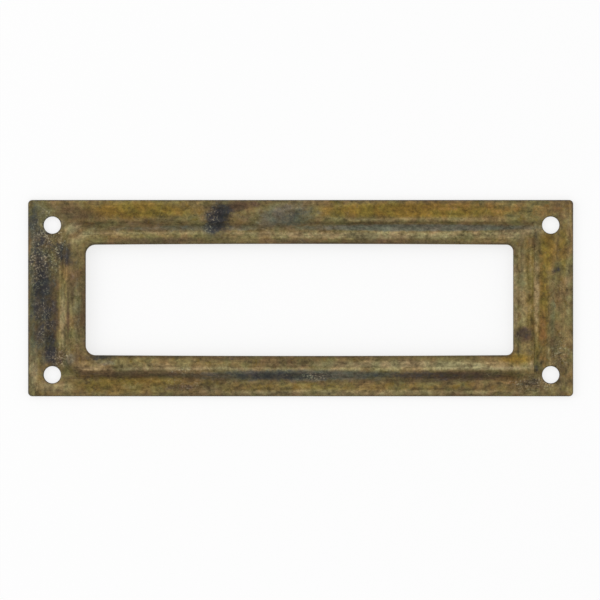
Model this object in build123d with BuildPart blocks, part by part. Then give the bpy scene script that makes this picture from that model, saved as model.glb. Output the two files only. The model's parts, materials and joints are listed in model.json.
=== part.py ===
from build123d import *
from math import cos, radians, sin, sqrt
import os

# Label holder pressed from one sheet of brass. It lies on its back: the back is on Z = 0, the front
# looks along +Z, the long side runs along X and a card is pushed in from the +X end.

# Window, whose long sides bow out a little, and the flat top of the raised border beside it: long sides,
# closed end and open end
window_length = 62.2
window_height = 16.29
window_bow = 0.12
window_corner_closed = 1.4
window_corner_open = 0.95
rim_side = 1.98
rim_closed = 2.4
rim_open = 3.0

# Sheet, the room for a card between flange and border, and the bends of the step: the inside radius
# under its crest is tight and the one over its foot is wide
sheet = 0.6
card_gap = 0.5
crest_inside = 0.2
foot_inside = 0.8
bend_angle = 45
border_corner = 2.4

# Blank: how far it reaches past the border's top at the closed end, open end, upper and lower side
margin_closed = 6.03
margin_open = 5.77
margin_upper = 4.435
margin_lower = 3.915
blank_corner = 0.6

# Screw holes: clear of the step's rounded foot corners, and their distance past the border's long sides
hole_radius = 1.25
hole_clearance = 0.429
hole_outset = 0.775

# Rounding that the punch leaves on front edges, and the most of the sheet that it may take
window_roll = 0.35
edge_roll = 0.15
roll_share = 0.8

# Border and step
border_length = rim_closed + window_length + rim_open
border_height = window_height + 2 * rim_side
border_rise = sheet + card_gap
bend_sum = crest_inside + sheet + foot_inside
bend_drop = bend_sum * (1 - cos(radians(bend_angle)))
wall_length = (border_rise - bend_drop) / sin(radians(bend_angle))
step_run = bend_sum * sin(radians(bend_angle)) + wall_length * cos(radians(bend_angle))

# Places, with the middle of the blank at the origin
blank_length = margin_closed + border_length + margin_open
blank_height = margin_lower + border_height + margin_upper
closed_x = margin_closed - blank_length / 2
slot_x = closed_x + border_length
lower_y = margin_lower - blank_height / 2
upper_y = lower_y + border_height
middle_x = (closed_x + slot_x) / 2
middle_y = (lower_y + upper_y) / 2
window_x = closed_x + rim_closed + window_length / 2
corner_reach = border_corner + step_run + hole_clearance + hole_radius
end_reach = sqrt(corner_reach**2 - (border_corner + hole_outset) ** 2)
hole_pitch_x = border_length + 2 * (end_reach - border_corner)
hole_pitch_y = border_height + 2 * hole_outset

# Edge of the border's flat top: rounded at the closed end, square where the sheet is sheared for the card
with BuildSketch() as crest:
    with Locations((middle_x, middle_y)):
        Rectangle(border_length, border_height)
    fillet(crest.vertices().group_by(Axis.X)[0], radius=border_corner)

# Foot of the step, where the sheet is flat again
with BuildSketch() as foot:
    with Locations((slot_x, middle_y)):
        Rectangle(border_length + step_run, border_height + 2 * step_run, align=(Align.MAX, Align.CENTER))
    fillet(foot.vertices().group_by(Axis.X)[0], radius=border_corner + step_run)

# Window, cut with softer corners at the closed end
with BuildSketch() as window:
    with BuildLine():
        upper_side = ThreePointArc(
            (window_x - window_length / 2, middle_y + window_height / 2 - window_bow),
            (window_x, middle_y + window_height / 2),
            (window_x + window_length / 2, middle_y + window_height / 2 - window_bow),
        )
        lower_side = ThreePointArc(
            (window_x - window_length / 2, middle_y - window_height / 2 + window_bow),
            (window_x, middle_y - window_height / 2),
            (window_x + window_length / 2, middle_y - window_height / 2 + window_bow),
        )
        Line(upper_side @ 0, lower_side @ 0)
        Line(upper_side @ 1, lower_side @ 1)
    make_face()
    window_ends = window.vertices().group_by(Axis.X)
    fillet(window_ends[0], radius=window_corner_closed)
    fillet(window_ends[-1], radius=window_corner_open)

# The press follows this line round three sides and stops at the shear
with BuildLine() as press_line:
    FilletPolyline(
        (slot_x, upper_y),
        (closed_x, upper_y),
        (closed_x, lower_y),
        (slot_x, lower_y),
        radius=border_corner,
    )

with BuildPart() as label_holder:
    # Flat flange
    with BuildSketch():
        RectangleRounded(blank_length, blank_height, blank_corner)
        add(foot.sketch, mode=Mode.SUBTRACT)
    extrude(amount=sheet)

    # Flat top of the border, with the window
    with BuildSketch(Plane.XY.offset(border_rise)):
        add(crest.sketch)
        add(window.sketch, mode=Mode.SUBTRACT)
    extrude(amount=sheet)

    # Step between them: the sheet bends down, runs straight and bends level, all at one thickness
    with BuildSketch(Plane(origin=(slot_x, upper_y, 0), x_dir=(0, 1, 0), z_dir=(1, 0, 0))):
        with BuildLine():
            front_bend = JernArc((0, border_rise + sheet), (1, 0), crest_inside + sheet, -bend_angle)
            front_wall = PolarLine(front_bend @ 1, wall_length, direction=front_bend % 1)
            front_foot = JernArc(front_wall @ 1, front_wall % 1, foot_inside, bend_angle)
            back_bend = JernArc((0, border_rise), (1, 0), crest_inside, -bend_angle)
            back_wall = PolarLine(back_bend @ 1, wall_length, direction=back_bend % 1)
            back_foot = JernArc(back_wall @ 1, back_wall % 1, foot_inside + sheet, bend_angle)
            Line(front_foot @ 1, back_foot @ 1)
            Line(front_bend @ 0, back_bend @ 0)
        make_face()
    sweep(path=press_line.line)

    # Screw holes in the corners of the flange
    with Locations((middle_x, middle_y, sheet)):
        with GridLocations(hole_pitch_x, hole_pitch_y, 2, 2):
            Hole(hole_radius)

    # Rounded front edges: the window first, then the outline and the screw holes
    window_edges = label_holder.faces().sort_by(Axis.Z)[-1].inner_wires().edges()
    fillet(window_edges, radius=min(window_roll, roll_share * sheet))
    flange_front = label_holder.faces().filter_by_position(Axis.Z, sheet, sheet).sort_by(SortBy.AREA)[-1]
    hole_edges = flange_front.inner_wires().edges().filter_by(lambda edge: edge.is_closed)
    fillet(flange_front.outer_wire().edges() + hole_edges, radius=min(edge_roll, roll_share * sheet))

label_holder.part.label = "label holder"
os.makedirs("parts", exist_ok=True)
export_step(label_holder.part, "parts/label_holder.step")
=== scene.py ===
import json
import math
from collections import namedtuple
from types import SimpleNamespace

import bpy
import numpy as np
from bpy.props import FloatProperty, FloatVectorProperty, PointerProperty
from bpy.types import Operator, Panel, PropertyGroup
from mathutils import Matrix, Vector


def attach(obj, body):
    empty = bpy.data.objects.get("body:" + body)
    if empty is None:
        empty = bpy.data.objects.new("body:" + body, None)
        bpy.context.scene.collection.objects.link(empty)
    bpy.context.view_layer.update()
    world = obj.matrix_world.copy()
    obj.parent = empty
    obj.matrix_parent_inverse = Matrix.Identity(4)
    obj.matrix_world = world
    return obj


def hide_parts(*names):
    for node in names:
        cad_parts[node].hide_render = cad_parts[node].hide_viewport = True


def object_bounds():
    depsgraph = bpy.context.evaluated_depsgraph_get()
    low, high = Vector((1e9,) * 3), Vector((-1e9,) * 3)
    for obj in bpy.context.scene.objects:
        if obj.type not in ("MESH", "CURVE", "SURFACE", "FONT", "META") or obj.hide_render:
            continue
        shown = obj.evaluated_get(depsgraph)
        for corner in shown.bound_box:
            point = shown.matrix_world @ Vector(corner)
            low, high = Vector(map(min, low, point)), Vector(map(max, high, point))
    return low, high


bl_info = {
    "name": "Pressed Label Holder",
    "version": (1, 0, 0),
    "blender": (4, 5, 0),
    "location": "3D View > Sidebar > Label Holder",
    "description": "Dresses a pressed brass label holder with its aged finish, and sets its stage",
    "category": "Object",
}

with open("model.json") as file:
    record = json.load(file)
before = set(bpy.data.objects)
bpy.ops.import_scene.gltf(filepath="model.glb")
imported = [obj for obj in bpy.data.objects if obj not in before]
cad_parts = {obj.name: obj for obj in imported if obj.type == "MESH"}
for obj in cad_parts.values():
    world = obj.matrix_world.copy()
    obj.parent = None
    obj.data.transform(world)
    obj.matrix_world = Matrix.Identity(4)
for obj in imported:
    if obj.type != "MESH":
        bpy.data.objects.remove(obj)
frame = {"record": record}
CAD_LOW, CAD_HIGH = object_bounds()
HOLES = next(mount for mount in frame["record"]["mounts"] if mount["name"] == "screw_holes")
MM = 0.001

# Mesh lines
FINE_SHARE = 0.28  # of the pitch, across the step
MIDDLE_SHARE = 0.7  # of the pitch, on the flat strips
OUTLINE_STEPS = 4  # across each rounded edge of the outline
WINDOW_STEPS = 5  # across the window's rounded edge
HOLE_STEPS = 3  # across each hole's rounded edge
LINE_DIGITS = 8  # decimals of a metre by which two needed lines differ
LINE_CLEARANCE = 0.03 * MM  # between a needed line and a filling one

# Holes in the grid, in hole radii
HOLE_BLOCK = 0.85  # half side of the square block that becomes the circle
HOLE_REACH = 1.9  # where the grid round it is square again

# Limits
FAR = 1.0  # a length past every edge of the sheet
TINY = 1e-9  # a length too small to matter
SHARP_ANGLE = math.radians(50)  # between faces that meet in a sharp edge

# Finish fields
CREST_SHEEN_AND_WEAR_INSET = 0.25 * MM  # of the pale band along the crest, a painted highlight together with rubbed wear, in from the edge of the border's flat top
CREST_SHEEN_AND_WEAR_DRIFT = 0.018  # growth of that inset with Y
CREST_SHEEN_AND_WEAR_WIDTH = 0.35 * MM  # half width of the pale band
CREST_SHEEN_AND_WEAR_LOSS = 0.45  # share of the pale band that is missing at the ends
WINDOW_EDGE_SHADE_AND_GRIME_REACH = 1.0 * MM  # of the dark band round the window, painted shade of its rounded edge together with grime, out from the window
OUTLINE_SHADE_REACH = 0.28 * MM  # of the dark line, painted shade of the rounded cut edges, in from the outline and out from the holes
GRAIN_TURN = 3 * MM  # stretch over which the grain turns at the corners
BACK_SHARE = 0.35  # of each stain that shows on the back

# Spots of each stain, and of painted light and shade, as soft ovals: middle and half sizes in millimetres,
# lean in degrees, strength
Spot = namedtuple("Spot", "x y long wide turn strength")
SPOTS = {
    "soot": (
        # Upper flange
        Spot(-12.0, 11.7, 2.5, 1.7, 68, 1.0),
        Spot(-12.0, 11.8, 1.6, 0.9, 68, 1.25),
        Spot(-1.4, 12.0, 3.0, 1.4, 0, 0.35),
        Spot(-0.4, 12.3, 1.2, 0.8, 20, 0.55),
        # Closed end
        Spot(-39.0, 11.3, 3.2, 0.9, 90, 0.6),
        Spot(-37.2, 9.7, 1.4, 0.8, 0, 0.7),
        Spot(-37.5, 7.6, 3.0, 0.8, 90, 0.6),
        Spot(-34.4, 6.4, 1.8, 1.2, 115, 0.72),
        Spot(-39.2, 4.5, 4.0, 0.4, 90, 0.5),
        Spot(-37.7, 2.0, 3.6, 1.1, 92, 0.95),
        Spot(-37.6, 0.5, 10.5, 2.0, 92, 0.66),
        Spot(-36.5, -7.2, 3.6, 1.1, 100, 0.82),
        # Lower side
        Spot(-29.2, -8.7, 2.2, 0.4, 0, 0.75),
        Spot(-4.0, -11.3, 9.0, 0.7, 0, 0.62),
        Spot(16.0, -11.3, 10.0, 0.6, 0, 0.4),
        # Open end
        # Painted shadow beside the border's upper cut end, at the slot
        Spot(34.3, 9.3, 0.3, 0.6, 0, 0.45),
        Spot(37.4, 4.2, 0.9, 0.5, 20, 0.5),
        Spot(32.4, -5.1, 1.2, 0.9, 0, 0.4),
        # Painted shadow beside the border's lower cut end, at the slot
        Spot(34.4, -10.2, 0.3, 0.7, 0, 0.55),
        Spot(33.3, -12.3, 1.6, 0.6, 10, 0.55),
    ),
    "slate": (
        # Upper side
        Spot(-2.3, 12.0, 4.8, 2.0, 10, 0.85),
        Spot(-25.0, 10.6, 7.0, 0.5, 0, 0.35),
        Spot(-14.0, 10.2, 17.0, 0.5, 0, 0.6),
        Spot(16.8, 10.25, 17.0, 0.5, 0, 1.25),
        # Closed end
        Spot(-38.2, 12.6, 1.6, 1.5, 0, 0.6),
        Spot(-34.8, 10.6, 1.2, 0.8, 30, 0.5),
        Spot(-38.7, 9.8, 3.4, 1.0, 90, 0.8),
        Spot(-37.8, 0.5, 10.0, 1.7, 90, 0.7),
        Spot(-32.6, -1.0, 7.0, 0.7, 90, 0.5),
        Spot(-33.5, -9.0, 1.4, 0.8, 45, 0.7),
        # Lower side
        Spot(-28.5, -9.3, 2.2, 0.6, 0, 0.6),
        Spot(0.0, -11.2, 16.0, 0.8, 0, 1.0),
    ),
    "umber": (
        # Upper flange
        Spot(-32.6, 12.3, 3.6, 1.5, 0, 0.6),
        Spot(-9.2, 13.4, 1.8, 0.8, 10, 1.2),
        Spot(-7.5, 11.6, 2.4, 1.0, 0, 0.5),
        Spot(-6.8, 13.7, 1.4, 0.5, 0, 0.9),
        Spot(-4.9, 12.0, 1.6, 1.2, 0, 0.45),
        # Upper step and border
        Spot(-18.5, 10.0, 11.0, 0.6, 0, 0.6),
        Spot(-14.2, 9.8, 1.6, 0.6, 0, 0.6),
        # These three bands along the window's upper edge are painted shade of the edge that faces away from
        # the light, together with grime
        Spot(-20.0, 8.4, 8.0, 0.45, 0, 0.75),
        Spot(-1.5, 8.35, 5.0, 0.4, 0, 0.75),
        Spot(17.0, 8.3, 9.0, 0.35, 0, 0.6),
        # Closed end
        Spot(-35.0, 6.8, 3.2, 1.8, 90, 0.5),
        Spot(-32.9, 4.0, 4.5, 0.6, 90, 0.6),
        Spot(-33.3, 1.5, 3.5, 0.5, 90, 0.8),
        Spot(-31.6, -0.3, 7.5, 0.45, 90, 0.6),
        Spot(-33.85, -2.0, 6.0, 0.25, 90, 0.75),
        Spot(-35.9, -3.5, 5.5, 0.45, 90, 0.75),
        Spot(-34.9, -8.6, 1.2, 0.8, 70, 0.7),
        # Lower side
        Spot(-10.0, -8.7, 3.5, 0.4, 0, 0.6),
        Spot(-23.0, -11.0, 9.5, 0.45, 0, 0.75),
        Spot(22.0, -11.3, 10.0, 0.9, 0, 0.85),
        Spot(6.0, -12.0, 26.0, 0.4, 0, 0.55),
        Spot(-17.5, -13.0, 3.0, 0.6, 0, 0.7),
        # Open end
        Spot(34.2, 8.0, 0.9, 1.0, 0, 0.6),
        Spot(36.8, 4.0, 4.5, 0.4, 90, 0.5),
        Spot(32.5, -5.3, 1.5, 1.2, 0, 1.0),
    ),
    "russet": (
        # Upper flange
        Spot(27.0, 13.2, 11.0, 0.9, 0, 0.5),
        Spot(35.7, 12.8, 2.6, 1.2, 0, 0.6),
        # Open end
        Spot(33.4, 8.0, 1.4, 0.8, 30, 0.7),
        Spot(34.9, 4.5, 4.0, 0.6, 90, 0.6),
        Spot(35.2, -4.5, 3.0, 0.7, 90, 0.85),
        Spot(35.2, -8.6, 1.3, 0.8, 90, 0.6),
        Spot(31.0, -12.0, 3.0, 0.7, 0, 0.6),
    ),
    "verdigris": (
        # Long sides
        Spot(-0.8, 11.6, 3.0, 1.0, 0, 0.5),
        Spot(4.0, -11.3, 7.0, 0.6, 0, 0.3),
        # Closed end
        Spot(-39.1, 0.0, 12.0, 0.6, 90, 0.75),
        Spot(-34.8, -1.0, 5.5, 0.4, 90, 0.4),
        # Open end
        Spot(32.2, 1.5, 6.0, 0.8, 90, 0.4),
        Spot(36.7, -2.5, 4.6, 0.5, 90, 0.6),
    ),
    "ochre": (
        # Upper flange
        Spot(-23.7, 12.8, 8.5, 1.2, 0, 1.05),
        Spot(16.5, 12.8, 15.5, 1.1, 0, 1.2),
        # Closed end
        # Partly painted light against the shade of the step's foot on the closed end's slope, together with
        # the yellow brass there
        Spot(-34.7, -0.5, 6.5, 0.65, 90, 0.6),
        Spot(-38.0, -10.8, 3.6, 1.3, 90, 0.5),
        # Lower side
        Spot(-24.0, -12.6, 11.5, 1.2, 0, 0.85),
        Spot(4.0, -13.0, 34.0, 0.8, 0, 0.5),
        Spot(30.5, -11.3, 2.5, 0.6, 0, 0.6),
        # Open end
        Spot(38.3, 7.0, 3.6, 1.0, 90, 0.8),
        Spot(36.0, 7.0, 3.5, 1.4, 90, 0.95),
        Spot(33.6, 1.0, 7.5, 1.2, 90, 1.0),
        Spot(35.3, 0.0, 9.0, 0.9, 90, 0.85),
        # Partly painted light: brightens the flange beside the slot against the border's cast shadow, with
        # the golden brass there
        Spot(34.4, -0.3, 8.5, 0.55, 90, 1.3),
        Spot(31.4, -8.9, 2.4, 0.9, 0, 1.0),
    ),
    "grain": (
        # Upper flange
        Spot(-13.0, 11.7, 2.4, 1.6, 75, 0.5),
        # Closed end
        Spot(-36.8, 8.0, 4.6, 2.4, 90, 0.9),
        Spot(-38.4, 5.5, 5.0, 1.2, 90, 0.8),
        Spot(-37.4, -3.5, 5.0, 1.6, 92, 0.5),
        Spot(-35.0, -8.6, 1.8, 1.2, 70, 0.85),
        # Lower side
        Spot(-17.0, -10.6, 1.4, 0.4, 0, 0.6),
        Spot(2.0, -11.3, 2.6, 0.6, 0, 0.8),
        Spot(-17.0, -12.7, 4.0, 1.0, 0, 0.45),
        # Open end
        Spot(37.8, -8.0, 2.8, 1.8, 90, 0.6),
        Spot(33.9, -12.4, 3.0, 1.1, 0, 1.0),
    ),
    "rubbed": (
        # Upper side
        # Painted light that lifts the shade at the foot of the upper step, on its right half
        Spot(17.0, 11.4, 15.0, 0.4, 0, 0.5),
        Spot(11.0, 9.05, 22.0, 0.5, 0, 0.7),
        # Closed end
        # Painted highlight where the slope's upper corner at the closed end catches the light
        Spot(-33.2, 10.2, 1.2, 0.75, 30, 1.25),
        Spot(-32.0, 8.9, 2.0, 0.7, 25, 0.6),
        # Partly painted light against the shade of the step's foot on the closed end's slope, together with
        # wear
        Spot(-34.6, -2.5, 4.8, 0.5, 90, 0.95),
        Spot(-32.7, -4.0, 4.5, 0.6, 90, 0.3),
        Spot(-38.9, -9.8, 3.8, 0.7, 90, 1.0),
        Spot(-36.5, -12.9, 4.0, 1.0, 0, 0.7),
        # Lower border
        Spot(16.0, -9.65, 16.0, 0.6, 0, 0.85),
        Spot(-22.0, -9.75, 8.0, 0.35, 0, 0.5),
        Spot(-30.6, -9.9, 2.8, 0.8, 0, 0.5),
        # These two thin bands along the lower crest are painted highlight together with wear
        Spot(26.0, -10.15, 9.0, 0.28, 0, 1.0),
        Spot(-18.0, -10.2, 11.0, 0.3, 0, 0.55),
        # Lower flange
        Spot(36.5, -12.9, 3.0, 0.8, 0, 0.4),
        Spot(-20.0, -13.0, 11.0, 0.8, 0, 0.45),
        Spot(-13.2, -13.3, 1.8, 0.6, 0, 0.6),
        Spot(9.0, -13.7, 29.0, 0.45, 0, 0.6),
        # Open end
        Spot(33.8, 10.0, 3.0, 0.8, 0, 0.8),
        Spot(31.2, 9.3, 2.2, 0.9, 0, 0.75),
        Spot(38.9, 3.5, 8.0, 0.4, 90, 0.55),
        # Painted light against the border's cast shadow on the flange beside the slot, together with polish
        # from the cards
        Spot(34.35, 1.0, 8.0, 0.5, 90, 0.95),
        Spot(32.6, 0.8, 6.0, 1.0, 90, 0.6),
        Spot(33.4, 0.5, 8.5, 0.45, 90, 0.55),
        Spot(31.2, -0.3, 7.0, 0.4, 90, 0.8),
        # Painted highlight on the border's lower cut end, at the slot
        Spot(33.6, -9.8, 0.3, 0.7, 0, 1.0),
    ),
}
SPOT_RIM = 1.5  # half sizes from an oval's middle to its rim

# Noises of the brass: blots to the millimetre along X and Y, scale, octaves, roughness, distortion
Noise = namedtuple("Noise", "along across scale detail roughness distortion")
STREAK = Noise(0.06, 0.9, 1.0, 6, 0.6, 0.3)
MOTTLE = Noise(0.7, 1.15, 1.0, 5, 0.65, 0.5)
HUE = Noise(0.42, 0.42, 1.0, 5, 0.6, 0.3)
PATCH = Noise(1, 1, 0.28, 8, 0.62, 0.5)
BLOT = Noise(1, 1, 1.1, 10, 0.72, 0.4)
FLECK = Noise(1, 1, 2.4, 6, 0.72, 0)
SPECK = Noise(1, 1, 4.0, 2, 0.6, 0)
PIT = Noise(1, 1, 7.0, 2, 0.5, 0)
SCRATCH = Noise(0.3, 9.0, 1.0, 1, 0.5, 0.15)
SCRATCH_TURNS = (24, -38, 71)  # degrees

# What a noise covers: the noise at which it starts and is full, and its share there
Film = namedtuple("Film", "start full share")
BRONZE_FILM = Film(0.36, 0.64, 1.0)
OLIVE_FILM = Film(0.42, 0.66, 0.6)
OCHRE_FILM = Film(0.50, 0.72, 1.0)
PORE_FILM = Film(0.46, 0.36, 0.6)
DUST_FILM = Film(0.52, 0.68, 0.62)
PIT_FILM = Film(0.36, 0.29, 0.45)
SCRATCH_FILM = Film(0.73, 0.79, 0.3)
COOL_FILM = Film(0.36, 0.64, 1.0)

# What a stain, or a layer of painted light or shade, covers: its field, how far noise tears its edge, and
# the sums at which it starts and is full
Stain = namedtuple("Stain", "field torn start full")
LAYERS = (
    (Stain("ochre", 0.9, 0.15, 1.15), "ochre"),
    (Stain("russet", 1.0, 0.2, 1.1), "russet"),
    # Rubbed: real wear, and in places painted light and highlight
    (Stain("rubbed", 1.0, 0.15, 1.4), "pale"),
    (Stain("umber", 1.0, 0.2, 1.0), "umber"),
    # Pale band along the crest: painted highlight together with rubbed wear
    (Stain("crest", 1.1, 0.3, 2.3), "pale"),
    (Stain("slate", 1.0, 0.2, 1.05), "slate"),
    (Stain("verdigris", 1.0, 0.25, 1.1), "verdigris"),
    # Dark band round the window: painted shade of its rounded edge together with grime
    (Stain("lip", 1.2, 0.4, 1.6), "umber"),
    (Stain("soot", 1.5, 0.05, 1.0), "soot"),
)
GRAINY = Stain("grain", 1.0, 0.1, 0.9)
# Dark line along the outline and the holes: painted shade of their rounded edges, in the soot colour
OUTLINE_SHADE = Stain("outline", 0.8, 0.4, 1.4)

# Tinges of the brass
WARM_TINGE = (1.07, 0.97, 0.97)
COOL_TINGE = (0.94, 1.03, 1.0)

# Light and dark of the brass: gain and offset of each noise
FLECK_SHADE = (2.2, -0.05)
MOTTLE_SHADE = (2.6, -0.3)
STREAK_SHADE = (1.4, 0.3)

# Relief and roughness of the brass
STREAK_RELIEF = 0.4  # beside the flecks, whose relief is 1
PATCH_RELIEF = 3.0
RELIEF_STRENGTH = 0.4
RELIEF_DEPTH = 0.05 * MM
METALLIC = 0.8
ROUGHNESS = 0.36  # of the plain brass
BLOT_ROUGHNESS = 0.25  # added by blots
CREST_ROUGHNESS = -0.06  # added on crests
SOOT_ROUGHNESS = 0.12  # added by soot

# Stage
WHITE = (1, 1, 1, 1)
FLOOR_COLOUR = (0.97, 0.97, 0.97, 1)
FLOOR_GLOW = 0.7  # share of its white that is the floor's own where it shows
FLOOR_HALF = 3.0
FLOOR_Z = -0.05 * MM
LAMP_SIZE = 0.5
KEY_PLACE = (-0.75, 0.2, 0.45)
FRONT_PLACE = (0.0, 0.0, 1.5)
SENSOR_WIDTH = 36.0


def length(name, description, millimetres):
    """A length property given in millimetres and kept in metres."""
    return FloatProperty(
        name=name, description=description, default=millimetres * MM, unit="LENGTH", precision=5
    )


def tint(name, description, red, green, blue):
    """A colour property given as 8-bit display values and kept as linear light, by the sRGB curve."""
    shown = np.array((red, green, blue)) / 255
    linear = np.where(shown > 0.04045, ((shown + 0.055) / 1.055) ** 2.4, shown / 12.92)
    return FloatVectorProperty(
        name=name, description=description, default=tuple(linear), size=3, subtype="COLOR", min=0, max=1
    )


class PressingSizes(PropertyGroup):
    """Sizes of the pressed sheet that its packed box doesn't give."""

    sheet: length("Sheet", "Thickness of the brass", 0.6)
    crest_inside: length("Crest bend", "Inside radius of the bend under the step's crest", 0.2)
    foot_inside: length("Foot bend", "Inside radius of the bend over the step's foot", 0.8)
    bend_angle: FloatProperty(
        name="Bend",
        description="Angle of the step's straight part",
        default=math.radians(45),
        subtype="ANGLE",
    )
    border_corner: length("Border corner", "Corner radius of the border's flat top at its closed end", 2.4)
    margin_closed: length(
        "Closed margin", "From the blank's edge to the border's top at the closed end", 6.03
    )
    margin_open: length("Open margin", "From the blank's edge to the sheared end of the border", 5.77)
    margin_upper: length("Upper margin", "From the blank's upper edge to the border's top", 4.435)
    margin_lower: length("Lower margin", "From the blank's lower edge to the border's top", 3.915)
    rim_closed: length("Closed rim", "Flat top of the border at the closed end", 2.4)
    rim_open: length("Open rim", "Flat top of the border at the open end", 3.0)
    rim_side: length("Side rim", "Flat top of the border on the long sides", 1.98)
    window_bow: length("Window bow", "How far the window's long sides bow out in the middle", 0.12)
    window_closed: length("Closed corners", "Window corner radius at the closed end", 1.4)
    window_open: length("Open corners", "Window corner radius at the open end", 0.95)
    window_roll: length("Window roll", "Rounding of the window's front edge", 0.35)
    blank_corner: length("Blank corner", "Corner radius of the blank", 0.6)
    edge_roll: length("Edge roll", "Rounding of the outline's and the holes' front edges", 0.15)
    slit: length("Slit", "Width of the shear line between border and flange", 0.002)
    pitch: length("Pitch", "Spacing of the mesh lines across the window, the widest there is", 0.3)


class PatinaColours(PropertyGroup):
    """Colours of the brass and of what age has left on it."""

    bronze: tint("Bronze", "Brown brass that shows most", 108, 92, 58)
    ochre: tint("Ochre", "Yellow brass where the brown is thin", 111, 91, 36)
    brown: tint("Brown", "Darker streaks of the brass", 94, 78, 52)
    # Umber also paints the shade round the window's rounded edge
    umber: tint("Umber", "Dark brown tarnish", 76, 61, 43)
    olive: tint("Olive", "Greenish brass", 108, 101, 62)
    # Soot also paints shade: along the rounded cut edges and beside the border's cut ends at the slot
    soot: tint("Soot", "Blue-black of stains, pits and edges", 45, 45, 46)
    slate: tint("Slate", "Grey film at the foot of the step", 90, 88, 74)
    russet: tint("Russet", "Reddish brass", 118, 88, 48)
    verdigris: tint("Verdigris", "Dull green bloom", 86, 92, 66)
    # Pale also paints highlight and light in places, besides real rubbing and scratches
    pale: tint("Pale", "Brass rubbed bright on crests and in scratches", 147, 134, 99)
    dust: tint("Dust", "Grey grains", 152, 145, 122)


class StageSettings(PropertyGroup):
    """Camera and light."""

    view_width: length("View width", "Width of the picture at the holder", 87.43)
    view_x: length("View X", "Point under the camera, along the holder", -0.095)
    view_y: length("View Y", "Point under the camera, across the holder", -0.27)
    camera_height: FloatProperty(
        name="Camera height", description="Camera above the floor", default=1.2, unit="LENGTH"
    )
    fill: FloatProperty(name="Fill", description="Light of the world on matt surfaces", default=0.82)
    key: FloatProperty(
        name="Key", description="Power of the lamp at the upper left", default=1.8, unit="POWER"
    )
    front: FloatProperty(
        name="Front", description="Power of the lamp behind the camera", default=1.1, unit="POWER"
    )


def layout(sizes):
    """Lines of the pressing, in metres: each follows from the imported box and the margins, rims and bends.
    The step's wall is the straight part that its two arcs leave of the rise, and its run in plan is that of
    the arcs and the wall together."""
    bend_sum = sizes.crest_inside + sizes.sheet + sizes.foot_inside
    rise = CAD_HIGH.z - sizes.sheet
    wall = (rise - bend_sum * (1 - math.cos(sizes.bend_angle))) / math.sin(sizes.bend_angle)
    if wall < 0:
        raise ValueError("The bends are too wide for the height of the step")
    run = bend_sum * math.sin(sizes.bend_angle) + wall * math.cos(sizes.bend_angle)
    closed = CAD_LOW.x + sizes.margin_closed
    slot = CAD_HIGH.x - sizes.margin_open
    lower = CAD_LOW.y + sizes.margin_lower
    upper = CAD_HIGH.y - sizes.margin_upper
    half_x = HOLES["dims"]["spacing_x_mm"] * MM / 2
    half_y = HOLES["dims"]["spacing_y_mm"] * MM / 2
    hole_radius = HOLES["dims"]["hole_r_mm"] * MM
    return SimpleNamespace(
        rise=rise,
        run=run,
        closed=closed,
        slot=slot,
        lower=lower,
        upper=upper,
        window_low=(closed + sizes.rim_closed, lower + sizes.rim_side),
        window_high=(slot - sizes.rim_open, upper - sizes.rim_side),
        hole_x=(HOLES["pos_m"][0] - half_x, HOLES["pos_m"][0] + half_x),
        hole_y=(HOLES["pos_m"][1] - half_y, HOLES["pos_m"][1] + half_y),
        hole_radius=hole_radius,
        hole_block=hole_radius * HOLE_BLOCK,
    )


def smooth(value):
    """Smooth step: 0 below 0, 1 above 1, and 3v² - 2v³ between."""
    v = np.clip(value, 0, 1)
    return v * v * (3 - 2 * v)


def outside(x, y, low, high, radius):
    """Signed distance from a rectangle with rounded corners, positive outside: the length of what
    reaches past the corner centres, less the radius."""
    reach_x = np.maximum(low[0] - x, x - high[0]) + radius
    reach_y = np.maximum(low[1] - y, y - high[1]) + radius
    past = np.hypot(np.maximum(reach_x, 0), np.maximum(reach_y, 0))
    return past + np.minimum(np.maximum(reach_x, reach_y), 0) - radius


def rolled(distance, radius):
    """Drop of a rounded edge: a quarter circle that ends level one radius in from the edge."""
    share = np.clip(1 - distance / radius, 0, 1)
    return radius * (1 - np.sqrt(1 - share * share))


def step_heights(out, sizes, lines):
    """Front and back of the sheet at a distance out from the edge of the border's flat top: each is an
    arc down, a straight slope and an arc back to level. The arcs of front and back share their centres,
    so the sheet keeps one thickness."""
    lean = math.sin(sizes.bend_angle)
    crest_centre, foot_centre = lines.rise - sizes.crest_inside, sizes.sheet + sizes.foot_inside

    def sheet_side(crest_radius, foot_radius):
        """Heights of one side: the crest's circle, the foot's circle, and the line from one to the other."""
        crest_end, foot_start = crest_radius * lean, lines.run - foot_radius * lean
        crest_z = crest_centre + np.sqrt(crest_radius**2 - np.clip(out, 0, crest_end) ** 2)
        foot_z = foot_centre - np.sqrt(foot_radius**2 - np.clip(lines.run - out, 0, foot_radius * lean) ** 2)
        slope = np.clip((out - crest_end) / (foot_start - crest_end), 0, 1)
        return crest_z + (foot_z - crest_z) * slope

    front = sheet_side(sizes.crest_inside + sizes.sheet, sizes.foot_inside)
    back = sheet_side(sizes.crest_inside, sizes.foot_inside + sizes.sheet)
    return front, back


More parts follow.
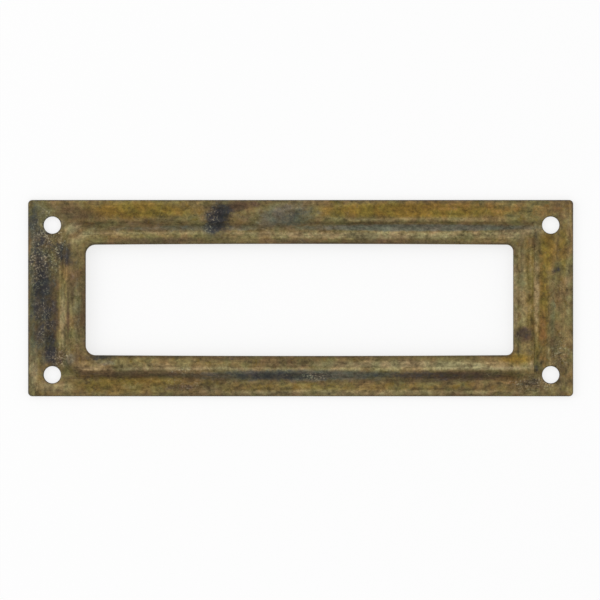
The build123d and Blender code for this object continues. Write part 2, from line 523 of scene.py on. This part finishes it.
def round_corner(x, y, corner, away, radius, hold, reach):
    """Moves grid points so that square rings round a corner get round corners. The ring at depth d outside
    the corner gets an arc of radius R = radius + d, where R fades to nothing from depth hold to depth
    reach. A point that lies s along the ring from its square corner, with s under R, goes to the arc at
    45 (1 - s / R) degrees from the arc's end on that side."""
    past_x, past_y = away[0] * (x - corner[0]), away[1] * (y - corner[1])
    depth = np.maximum(past_x, past_y)
    along = depth - np.minimum(past_x, past_y)
    arc = np.maximum((radius + depth) * (1 - smooth((depth - hold) / (reach - hold))), 0)
    near = along < arc
    turn = math.pi / 4 * (1 - along / np.where(near, arc, 1))
    lead = depth - arc + arc * np.cos(turn)
    trail = depth - arc + arc * np.sin(turn)
    leads_x = past_x >= past_y
    new_x = np.where(near, np.where(leads_x, lead, trail), past_x)
    new_y = np.where(near, np.where(leads_x, trail, lead), past_y)
    return corner[0] + away[0] * new_x, corner[1] + away[1] * new_y


def open_hole(x, y, centre, radius, block, roll):
    """Moves grid points so that the square block round a hole becomes its circle: a square ring at
    distance d goes to the circle radius + d - block near the hole, and stays square from the reach on."""
    reach = HOLE_REACH * radius
    dx, dy = x - centre[0], y - centre[1]
    ring = np.maximum(np.abs(dx), np.abs(dy))
    circle = (radius + ring - block) / np.maximum(np.hypot(dx, dy), TINY)
    square = smooth((ring - block - roll) / (reach - block - roll))
    share = np.where(ring < reach, circle * (1 - square) + square, 1)
    return centre[0] + dx * share, centre[1] + dy * share


def bowed(x, y, lines, bow, reach):
    """How far points move in towards the window's middle line: the bow times the square of their share of
    the half length, signed by side, fading smoothly to nothing at the reach beyond the window."""
    middle_x = (lines.window_low[0] + lines.window_high[0]) / 2
    middle_y = (lines.window_low[1] + lines.window_high[1]) / 2
    share = np.abs(x - middle_x) / (lines.window_high[0] - middle_x)
    beyond = np.abs(y - middle_y) - (lines.window_high[1] - middle_y)
    fade = 1 - smooth(np.maximum(beyond, (share - 1) * (lines.window_high[0] - middle_x)) / reach)
    return bow * share**2 * fade * np.sign(y - middle_y)


def spaced(start, end, pitch):
    """Evenly spaced positions from start to end, no further apart than the pitch."""
    return np.linspace(start, end, max(2, math.ceil((end - start) / pitch) + 1))


def edge_lines(edge, side, radius, steps):
    """Lines across a rounded edge, at equal angles of its quarter circle."""
    return edge + side * radius * (1 - np.cos(np.linspace(0, math.pi / 2, steps + 1)))


def grid_lines(needed, filled):
    """Sorted positions of mesh lines: all that are needed, and the filling lines that keep clear of them."""
    needed = np.unique(np.round(np.concatenate(needed), LINE_DIGITS))
    filled = np.unique(np.concatenate(filled))
    clear = np.abs(filled[:, None] - needed[None, :]).min(axis=1) > LINE_CLEARANCE
    return np.sort(np.concatenate((needed, filled[clear])))


def mesh_lines(sizes, lines):
    """Lines of the mesh along X and along Y: fine across rolled edges and the step, and coarse elsewhere."""
    fine, middle, coarse = sizes.pitch * FINE_SHARE, sizes.pitch * MIDDLE_SHARE, sizes.pitch
    roll, window = sizes.edge_roll, sizes.window_roll

    def rolled_edges(axis, holes):
        """Lines across the rounded edges of the outline, the window and the holes on one axis."""
        rings = edge_lines(lines.hole_block, 1, roll, HOLE_STEPS)
        return [
            edge_lines(CAD_LOW[axis], 1, roll, OUTLINE_STEPS),
            edge_lines(CAD_HIGH[axis], -1, roll, OUTLINE_STEPS),
            edge_lines(lines.window_low[axis], -1, window, WINDOW_STEPS),
            edge_lines(lines.window_high[axis], 1, window, WINDOW_STEPS),
            *(hole + side * rings for hole in holes for side in (-1, 1)),
        ]

    x = grid_lines(
        [
            np.array((lines.closed - lines.run, lines.closed, lines.slot, lines.slot + sizes.slit)),
            *rolled_edges(0, lines.hole_x),
        ],
        [
            spaced(CAD_LOW.x + roll, lines.closed - lines.run, middle),
            spaced(lines.closed - lines.run, lines.closed, fine),
            spaced(lines.closed, lines.window_low[0] - window, middle),
            spaced(lines.window_low[0], lines.window_high[0], coarse),
            spaced(lines.window_high[0] + window, lines.slot, middle),
            spaced(lines.slot + sizes.slit, CAD_HIGH.x - roll, middle),
        ],
    )
    y = grid_lines(
        [
            np.array((lines.lower - lines.run, lines.lower, lines.upper, lines.upper + lines.run)),
            *rolled_edges(1, lines.hole_y),
        ],
        [
            spaced(CAD_LOW.y + roll, lines.lower - lines.run, middle),
            spaced(lines.lower - lines.run, lines.lower, fine),
            spaced(lines.lower, lines.window_low[1] - window, middle),
            spaced(lines.window_low[1], lines.window_high[1], coarse),
            spaced(lines.window_high[1] + window, lines.upper, middle),
            spaced(lines.upper, lines.upper + lines.run, fine),
            spaced(lines.upper + lines.run, CAD_HIGH.y - roll, middle),
        ],
    )
    return x, y


def kept_cells(x, y, sizes, lines):
    """Which cells of the grid are metal: all but the window, the blocks of the holes and the shear line."""
    mid_x, mid_y = np.meshgrid((x[:-1] + x[1:]) / 2, (y[:-1] + y[1:]) / 2, indexing="ij")
    low, high = lines.window_low, lines.window_high
    cut = (mid_x > low[0]) & (mid_x < high[0]) & (mid_y > low[1]) & (mid_y < high[1])
    for hole_x in lines.hole_x:
        for hole_y in lines.hole_y:
            cut |= np.maximum(np.abs(mid_x - hole_x), np.abs(mid_y - hole_y)) < lines.hole_block
    across = (mid_y > lines.lower - lines.run) & (mid_y < lines.upper + lines.run)
    cut |= (mid_x > lines.slot) & (mid_x < lines.slot + sizes.slit) & across
    return ~cut


def sheet_faces(kept):
    """Quads of a closed sheet over the kept cells: front, back turned over, and a wall under each edge
    where a kept cell meets a cut one. Point numbers run along the grid, front points first."""
    columns, rows = kept.shape
    number = np.arange((columns + 1) * (rows + 1)).reshape(columns + 1, rows + 1)
    back = number.size
    quads = np.stack((number[:-1, :-1], number[1:, :-1], number[1:, 1:], number[:-1, 1:]), axis=-1)[kept]
    faces = [quads, quads[:, ::-1] + back]
    metal = np.pad(kept, 1)
    for start, end, this, other in (
        (number[:, :-1], number[:, 1:], metal[:-1, 1:-1], metal[1:, 1:-1]),
        (number[1:, :], number[:-1, :], metal[1:-1, :-1], metal[1:-1, 1:]),
    ):
        for near, far, first, second in ((this, other, start, end), (other, this, end, start)):
            open_edge = near & ~far
            top, next_top = first[open_edge], second[open_edge]
            faces.append(np.stack((top, top + back, next_top + back, next_top), axis=-1))
    return np.concatenate(faces)


def warped(x, y, sizes, lines):
    """Grid points moved so that the grid's lines follow the corners of the blank and the window, and the
    holes: one of each lies in each quarter of the sheet."""
    box, window = (CAD_LOW, CAD_HIGH), (lines.window_low, lines.window_high)
    window_radius = (sizes.window_closed, sizes.window_open)
    for side_x in (0, 1):
        for side_y in (0, 1):
            away = (2 * side_x - 1, 2 * side_y - 1)
            corner = (box[side_x][0], box[side_y][1])
            x, y = round_corner(x, y, corner, away, sizes.blank_corner, FAR, 2 * FAR)
            corner = (window[side_x][0], window[side_y][1])
            x, y = round_corner(x, y, corner, away, window_radius[side_x], sizes.window_roll, sizes.rim_side)
            hole = (lines.hole_x[side_x], lines.hole_y[side_y])
            x, y = open_hole(x, y, hole, lines.hole_radius, lines.hole_block, sizes.edge_roll)
    return x, y


def spots(x, y, places):
    """Cover of soft-edged leaning ovals, the strongest at each point. With d the distance from an oval's
    middle in half sizes, its cover is its strength times 1.5 - d, where 1.5 - d is held between 0 and 1."""
    cover = np.zeros_like(x)
    for spot in places:
        turn = math.radians(spot.turn)
        dx, dy = x / MM - spot.x, y / MM - spot.y
        along = (dx * math.cos(turn) + dy * math.sin(turn)) / spot.long
        across = (dy * math.cos(turn) - dx * math.sin(turn)) / spot.wide
        cover = np.maximum(cover, spot.strength * np.clip(SPOT_RIM - np.hypot(along, across), 0, 1))
    return cover


def pressed_sheet(sizes):
    """Points, faces and finish fields of the whole holder. A grid over the outline is warped so that its
    lines follow the corners and holes; front and back heights are then functions of each point's distance
    from the border, the window, the holes and the outline. So are three of the fields: the crest is a bell
    curve over the edge of the border's flat top, a pale band of painted highlight with wear; the band round
    the window fades smoothly out from the window, painted shade of its rounded edge with grime; and the
    outline fades smoothly in from the cut edges, painted shade of their rounded edges. Upright says whether
    a point is nearer to an end than to a long side."""
    lines = layout(sizes)
    line_x, line_y = mesh_lines(sizes, lines)
    kept = kept_cells(line_x, line_y, sizes, lines)
    x, y = np.meshgrid(line_x, line_y, indexing="ij")
    flat = x > lines.slot + sizes.slit / 2
    window_corner = np.where(x < 0, sizes.window_closed, sizes.window_open)
    x, y = warped(x, y, sizes, lines)
    past_x = np.maximum(lines.window_low[0] - x, x - lines.window_high[0])
    past_y = np.maximum(lines.window_low[1] - y, y - lines.window_high[1])
    upright = smooth(0.5 + (past_x - past_y) / GRAIN_TURN)
    from_window = outside(x, y, lines.window_low, lines.window_high, window_corner)
    y = y - bowed(x, y, lines, sizes.window_bow, sizes.rim_side)
    out = outside(x, y, (lines.closed, lines.lower), (lines.slot + FAR, lines.upper), sizes.border_corner)
    from_hole = np.minimum.reduce(
        [np.hypot(x - hole_x, y - hole_y) for hole_x in lines.hole_x for hole_y in lines.hole_y]
    ) - lines.hole_radius
    from_edge = np.minimum(-outside(x, y, CAD_LOW, CAD_HIGH, sizes.blank_corner), from_hole)

    front, back = step_heights(out, sizes, lines)
    front = np.where(flat, sizes.sheet, front)
    back = np.where(flat, 0, back)
    front = front - rolled(from_window, sizes.window_roll) * (out < 0) * ~flat
    front = front - rolled(from_edge, sizes.edge_roll)
    points = np.concatenate([np.stack((x, y, z), axis=-1).reshape(-1, 3) for z in (front, back)])
    used, faces = np.unique(sheet_faces(kept), return_inverse=True)

    fields = {name: spots(x, y, places) for name, places in SPOTS.items()}
    # Pale band along the crest: painted highlight together with rubbed wear
    from_crest_sheen_and_wear = (out + CREST_SHEEN_AND_WEAR_INSET + CREST_SHEEN_AND_WEAR_DRIFT * y) / CREST_SHEEN_AND_WEAR_WIDTH
    fields["crest"] = np.exp(-(from_crest_sheen_and_wear**2)) * ~flat * (1 - CREST_SHEEN_AND_WEAR_LOSS * upright)
    # Dark band round the window: painted shade of its rounded edge together with grime
    fields["lip"] = smooth(1 - from_window / WINDOW_EDGE_SHADE_AND_GRIME_REACH) * ~flat
    # Dark line along the outline and the holes: painted shade of their rounded edges
    fields["outline"] = smooth(1 - from_edge / OUTLINE_SHADE_REACH)
    both = {
        name: np.concatenate((cover.ravel(), BACK_SHARE * cover.ravel()))[used]
        for name, cover in fields.items()
    }
    both["upright"] = np.concatenate((upright.ravel(), upright.ravel()))[used]
    return points[used], faces.reshape(-1, 4), both


def made_mesh(name, points, faces, fields):
    """A smooth mesh object at the origin with one float attribute per field, sharp where walls meet the
    back."""
    mesh = bpy.data.meshes.new(name)
    mesh.vertices.add(len(points))
    mesh.vertices.foreach_set("co", points.astype(np.float32).ravel())
    mesh.loops.add(faces.size)
    mesh.loops.foreach_set("vertex_index", faces.astype(np.int32).ravel())
    mesh.polygons.add(len(faces))
    mesh.polygons.foreach_set("loop_start", np.arange(0, faces.size, 4, dtype=np.int32))
    mesh.update(calc_edges=True)
    mesh.validate()
    mesh.shade_smooth()
    mesh.set_sharp_from_angle(angle=SHARP_ANGLE)
    for field_name, values in fields.items():
        attribute = mesh.attributes.new(field_name, "FLOAT", "POINT")
        attribute.data.foreach_set("value", values.astype(np.float32))
    made = bpy.data.objects.new(name, mesh)
    bpy.context.scene.collection.objects.link(made)
    return made


def bare_tree(owner):
    """Node tree of a material or a world, with no nodes in it."""
    owner.use_nodes = True
    owner.node_tree.nodes.clear()
    return owner.node_tree


def put(tree, kind, inputs=(), **settings):
    """Adds a node, with its settings and its inputs: each input is a value or another node's socket."""
    made = tree.nodes.new(kind)
    for name, value in settings.items():
        setattr(made, name, value)
    for name, value in dict(inputs).items():
        if isinstance(value, bpy.types.NodeSocket):
            tree.links.new(value, made.inputs[name])
        else:
            made.inputs[name].default_value = value
    return made


def sums(tree, operation, first, second=0.5, third=0.5):
    """Socket of a maths node."""
    return put(tree, "ShaderNodeMath", {0: first, 1: second, 2: third}, operation=operation).outputs[0]


def ramp(tree, value, low, high):
    """Socket that rises smoothly from 0 where the value is low to 1 where it is high."""
    inputs = {"Value": value, "From Min": low, "From Max": high}
    return put(tree, "ShaderNodeMapRange", inputs, interpolation_type="SMOOTHSTEP").outputs[0]


def mixed(tree, share, first, second, blend="MIX"):
    """Socket with the first colour turning into its blend with the second as the share rises."""
    first, second = (
        colour if isinstance(colour, bpy.types.NodeSocket) else (*colour, 1) for colour in (first, second)
    )
    inputs = {0: share, 6: first, 7: second}
    return put(tree, "ShaderNodeMix", inputs, data_type="RGBA", blend_type=blend).outputs[2]


def field(tree, name):
    """Socket of one of the sheet's finish fields."""
    return put(tree, "ShaderNodeAttribute", attribute_name=name).outputs["Fac"]


def noise(tree, where, kind, turn=0):
    """Socket of a cloudy noise, its pattern turned by so many degrees about Z. A texture mapping divides
    places by its scale, so one millimetre of X or Y holds the kind's number of blots times its scale."""
    scale = (MM / kind.along, MM / kind.across, MM)
    inputs = {"Vector": where, "Scale": scale, "Rotation": (0, 0, math.radians(turn))}
    place = put(tree, "ShaderNodeMapping", inputs, vector_type="TEXTURE").outputs[0]
    inputs = {
        "Vector": place,
        "Scale": kind.scale,
        "Detail": kind.detail,
        "Roughness": kind.roughness,
        "Distortion": kind.distortion,
    }
    return put(tree, "ShaderNodeTexNoise", inputs).outputs["Fac"]


def brushed(tree, where, kind):
    """Socket of a noise drawn out along the nearest side of the holder: the noise on the long sides turns
    into the same noise with X and Y exchanged at the ends."""
    level = noise(tree, where, kind)
    plumb = noise(tree, where, kind._replace(along=kind.across, across=kind.along))
    inputs = {0: field(tree, "upright"), 2: level, 3: plumb}
    return put(tree, "ShaderNodeMix", inputs, data_type="FLOAT").outputs[0]


def filmed(tree, value, film):
    """Socket of a film's cover: its share times the smooth rise of the noise from start to full."""
    return sums(tree, "MULTIPLY", ramp(tree, value, film.start, film.full), film.share)


def stained(tree, tear, stain):
    """Socket of a stain's cover: its field plus so much of the tearing noise, rising from start to full."""
    torn_field = sums(tree, "MULTIPLY_ADD", tear, stain.torn, field(tree, stain.field))
    return ramp(tree, torn_field, stain.start, stain.full)


def brass_colour(tree, colours, where, noises):
    """Socket of the brass's colour. Streaks, olive patches and ochre blots lie under the stains, whose
    fields are torn by the sum of blots and mottles less 1, so by a noise round 0. Some of these layers are
    painted light and shade: the crest's pale band is painted highlight with wear, the band round the window
    is painted shade with grime, and some rubbed, ochre and soot spots are painted light, highlight and
    shadow. Pores and dust lie in the grainy places, and pits, scratches and the dark outline, painted shade
    of the rounded cut edges, lie over all of it. A tinge, and the light and dark of flecks, mottles and
    streaks, then multiply it."""
    colour = mixed(tree, filmed(tree, noises.streak, BRONZE_FILM), colours.brown, colours.bronze)
    colour = mixed(tree, filmed(tree, noises.patch, OLIVE_FILM), colour, colours.olive)
    colour = mixed(tree, filmed(tree, noises.blot, OCHRE_FILM), colour, colours.ochre)

    tear = sums(tree, "SUBTRACT", sums(tree, "ADD", noises.blot, noises.mottle), 1.0)
    for stain, name in LAYERS:
        colour = mixed(tree, stained(tree, tear, stain), colour, getattr(colours, name))

    speck, grainy = noise(tree, where, SPECK), stained(tree, tear, GRAINY)
    for film, grain_colour in ((PORE_FILM, colours.soot), (DUST_FILM, colours.dust)):
        colour = mixed(tree, sums(tree, "MULTIPLY", filmed(tree, speck, film), grainy), colour, grain_colour)
    colour = mixed(tree, filmed(tree, noise(tree, where, PIT), PIT_FILM), colour, colours.soot)
    for turn in SCRATCH_TURNS:
        scratch = noise(tree, where, SCRATCH, turn)
        colour = mixed(tree, filmed(tree, scratch, SCRATCH_FILM), colour, colours.pale)
    # Painted shade along the rounded cut edges
    colour = mixed(tree, stained(tree, tear, OUTLINE_SHADE), colour, colours.soot)

    tinge = mixed(tree, filmed(tree, noise(tree, where, HUE), COOL_FILM), WARM_TINGE, COOL_TINGE)
    colour = mixed(tree, 1.0, colour, tinge, "MULTIPLY")
    shade = sums(tree, "MULTIPLY_ADD", noises.fleck, *FLECK_SHADE)
    for value, (gain, offset) in ((noises.mottle, MOTTLE_SHADE), (noises.streak, STREAK_SHADE)):
        shade = sums(tree, "MULTIPLY", shade, sums(tree, "MULTIPLY_ADD", value, gain, offset))
    return mixed(tree, 1.0, colour, shade, "MULTIPLY")


def aged_brass(colours):
    """Brown brass, streaked along each side, stained, rubbed and grainy, with painted highlights on its
    crests and corners and painted shade along its edges, with a fine relief, and smoother on its crests than
    in its blots and soot."""
    material = bpy.data.materials.new("aged_brass")
    tree = bare_tree(material)
    where = put(tree, "ShaderNodeTexCoord").outputs["Object"]
    noises = SimpleNamespace(
        streak=brushed(tree, where, STREAK),
        mottle=brushed(tree, where, MOTTLE),
        patch=noise(tree, where, PATCH),
        blot=noise(tree, where, BLOT),
        fleck=noise(tree, where, FLECK),
    )
    relief = sums(tree, "MULTIPLY_ADD", noises.streak, STREAK_RELIEF, noises.fleck)
    relief = sums(tree, "MULTIPLY_ADD", noises.patch, PATCH_RELIEF, relief)
    bump = put(
        tree, "ShaderNodeBump", {"Height": relief, "Strength": RELIEF_STRENGTH, "Distance": RELIEF_DEPTH}
    )
    rough = sums(tree, "MULTIPLY_ADD", noises.blot, BLOT_ROUGHNESS, ROUGHNESS)
    rough = sums(tree, "MULTIPLY_ADD", field(tree, "crest"), CREST_ROUGHNESS, rough)
    rough = sums(tree, "MULTIPLY_ADD", field(tree, "soot"), SOOT_ROUGHNESS, rough)
    inputs = {
        "Base Color": brass_colour(tree, colours, where, noises),
        "Metallic": METALLIC,
        "Roughness": rough,
        "Normal": bump.outputs[0],
    }
    shader = put(tree, "ShaderNodeBsdfPrincipled", inputs)
    put(tree, "ShaderNodeOutputMaterial", {"Surface": shader.outputs[0]})
    return material


def shown_rays(tree):
    """Socket that is 1 for what the camera sees directly, in a reflection or through glass."""
    path = put(tree, "ShaderNodeLightPath").outputs
    seen = sums(tree, "MAXIMUM", path["Is Camera Ray"], path["Is Glossy Ray"])
    return sums(tree, "MAXIMUM", seen, path["Is Transmission Ray"])


def white_floor():
    """Pale matt floor, part of whose white is its own for rays that show it, so its shadows stay soft."""
    material = bpy.data.materials.new("white_floor")
    tree = bare_tree(material)
    matt = put(tree, "ShaderNodeBsdfDiffuse", {"Color": FLOOR_COLOUR}).outputs[0]
    glow = put(tree, "ShaderNodeEmission", {"Color": WHITE, "Strength": 1.0}).outputs[0]
    share = sums(tree, "MULTIPLY", shown_rays(tree), FLOOR_GLOW)
    mix = put(tree, "ShaderNodeMixShader", {0: share, 1: matt, 2: glow})
    put(tree, "ShaderNodeOutputMaterial", {"Surface": mix.outputs[0]})
    return material


def soft_room(fill):
    """World of even white light: the fill's share of it on matt surfaces, and all of it for rays that show
    it."""
    world = bpy.data.worlds.new("soft_room")
    tree = bare_tree(world)
    level = put(tree, "ShaderNodeMix", {0: shown_rays(tree), 2: fill, 3: 1.0}, data_type="FLOAT")
    sky = put(tree, "ShaderNodeBackground", {"Color": WHITE, "Strength": level.outputs[0]})
    put(tree, "ShaderNodeOutputWorld", {"Surface": sky.outputs[0]})
    return world


def square_floor():
    """Floor object: one square face a hair under the holder's back."""
    corners = [(x * FLOOR_HALF, y * FLOOR_HALF, FLOOR_Z) for x, y in ((-1, -1), (1, -1), (1, 1), (-1, 1))]
    mesh = bpy.data.meshes.new("floor")
    mesh.from_pydata(corners, [], [(0, 1, 2, 3)])
    mesh.materials.append(white_floor())
    return bpy.data.objects.new("floor", mesh)


def square_lamp(name, power, place):
    """Square lamp object that faces the origin."""
    light = bpy.data.lights.new(name, "AREA")
    light.size = LAMP_SIZE
    light.energy = power
    lamp = bpy.data.objects.new(name, light)
    lamp.location = place
    lamp.rotation_euler = (-lamp.location).to_track_quat("-Z", "Y").to_euler()
    return lamp


def front_camera(stage):
    """Camera object that looks straight down: its lens is to its height as the sensor is to the view."""
    lens = bpy.data.cameras.new("camera")
    lens.sensor_width = SENSOR_WIDTH
    lens.lens = lens.sensor_width * stage.camera_height / stage.view_width
    camera = bpy.data.objects.new("camera", lens)
    camera.location = (stage.view_x, stage.view_y, stage.camera_height)
    return camera


class LABELHOLDER_OT_pressing(Operator):
    """Builds the pressed sheet with its border, slot, window and holes, and gives it its aged finish"""

    bl_idname = "labelholder.pressing"
    bl_label = "Pressed Sheet"

    def execute(self, context):
        scene = context.scene
        points, faces, fields = pressed_sheet(scene.holder_sizes)
        sheet = made_mesh("pressed_sheet", points, faces, fields)
        sheet.data.materials.append(aged_brass(scene.holder_colours))
        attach(sheet, "root")
        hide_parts("label_holder")
        return {"FINISHED"}


class LABELHOLDER_OT_stage(Operator):
    """Sets the white floor, the soft light and the camera that looks straight down on the front"""

    bl_idname = "labelholder.stage"
    bl_label = "Stage"

    def execute(self, context):
        scene = context.scene
        stage = scene.holder_stage
        floor = square_floor()
        scene.collection.objects.link(floor)
        scene.world = soft_room(stage.fill)
        key_lamp = square_lamp("key_lamp", stage.key, KEY_PLACE)
        front_lamp = square_lamp("front_lamp", stage.front, FRONT_PLACE)
        camera = front_camera(stage)
        for made in (key_lamp, front_lamp, camera):
            scene.collection.objects.link(made)
        scene.camera = camera
        scene.view_settings.view_transform = "Standard"
        return {"FINISHED"}


class LABELHOLDER_PT_panel(Panel):
    """Sidebar panel with the holder's sizes, colours and steps"""

    bl_idname = "LABELHOLDER_PT_panel"
    bl_label = "Label Holder"
    bl_space_type = "VIEW_3D"
    bl_region_type = "UI"
    bl_category = "Label Holder"

    def draw(self, context):
        for group, step in (
            (context.scene.holder_sizes, LABELHOLDER_OT_pressing),
            (context.scene.holder_colours, None),
            (context.scene.holder_stage, LABELHOLDER_OT_stage),
        ):
            box = self.layout.box()
            for name in group.__annotations__:
                box.prop(group, name)
            if step:
                box.operator(step.bl_idname)


CLASSES = (
    PressingSizes,
    PatinaColours,
    StageSettings,
    LABELHOLDER_OT_pressing,
    LABELHOLDER_OT_stage,
    LABELHOLDER_PT_panel,
)


def register():
    """Registers the classes and hangs the settings on the scene."""
    for made_class in CLASSES:
        bpy.utils.register_class(made_class)
    bpy.types.Scene.holder_sizes = PointerProperty(type=PressingSizes)
    bpy.types.Scene.holder_colours = PointerProperty(type=PatinaColours)
    bpy.types.Scene.holder_stage = PointerProperty(type=StageSettings)


def unregister():
    """Takes the settings off the scene and unregisters the classes."""
    del bpy.types.Scene.holder_stage
    del bpy.types.Scene.holder_colours
    del bpy.types.Scene.holder_sizes
    for made_class in reversed(CLASSES):
        bpy.utils.unregister_class(made_class)


def main():
    """Builds the holder and its stage."""
    register()
    bpy.ops.labelholder.pressing()
    bpy.ops.labelholder.stage()


if __name__ == "__main__":
    main()
